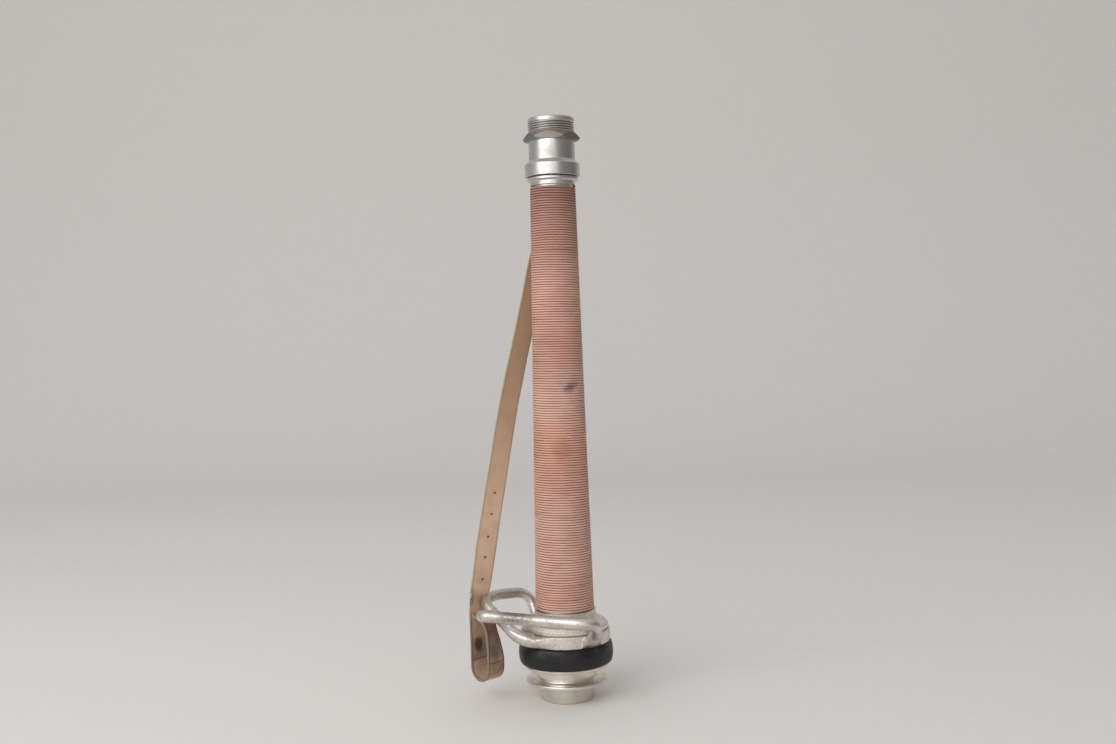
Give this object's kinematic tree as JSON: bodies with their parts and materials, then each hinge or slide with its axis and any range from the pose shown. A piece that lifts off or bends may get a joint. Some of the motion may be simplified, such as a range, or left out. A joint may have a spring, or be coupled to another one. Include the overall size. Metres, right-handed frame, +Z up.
{
  "type": "fire hose playpipe on a stowage peg",
  "caption": "Tapered, cord-wound fire hose playpipe with a cast double grip and leather strap, snapped upright onto a turned stowage peg with a sliding release ring.",
  "frame": {"origin": "middle of the stowage peg's foot, on the plane it stands on", "axes": "+Z up along the pipe towards its threaded tip, -Y towards the locker's open side, -X towards the strap and grips"},
  "size_m": [0.1706, 0.1632, 0.6822],
  "materials": {
    "turned_aluminium": "turned and hand-worn, fine lathe rings",
    "cast_aluminium": "as cast and rubbed, mottled, small dents",
    "bumper_rubber": "moulded, dusty satin",
    "gasket_rubber": "matt",
    "winding_cord": "twisted cotton cord, faded and soiled",
    "ring_steel": "drawn wire, dull plating",
    "strap_leather": "dry tan hide, worn edges"
  },
  "bodies": {
    "peg": {"stow_peg": "turned_aluminium"},
    "release_ring": {"push_ring": "turned_aluminium"},
    "playpipe": {"coupling_body": "turned_aluminium", "mouth_ring": "turned_aluminium", "bumper_ring": "bumper_rubber", "handle_ring": "cast_aluminium", "barrel_tube": "turned_aluminium", "cord_winding": "winding_cord", "tip_gasket": "gasket_rubber", "tip_fitting": "turned_aluminium", "strap_eye": "cast_aluminium", "strap_d_ring": "ring_steel", "strap": "strap_leather"}
  },
  "joints": [
    {"name": "ring_push", "type": "slide", "parent": "peg", "child": "release_ring", "axis": [0, 0, 1], "range_m": [0, 0.009]},
    {"name": "pipe_swivel", "type": "hinge", "parent": "peg", "child": "playpipe", "pos_m": [0, 0, 0.066], "axis": [0, 0, 1], "continuous": true}
  ]
}
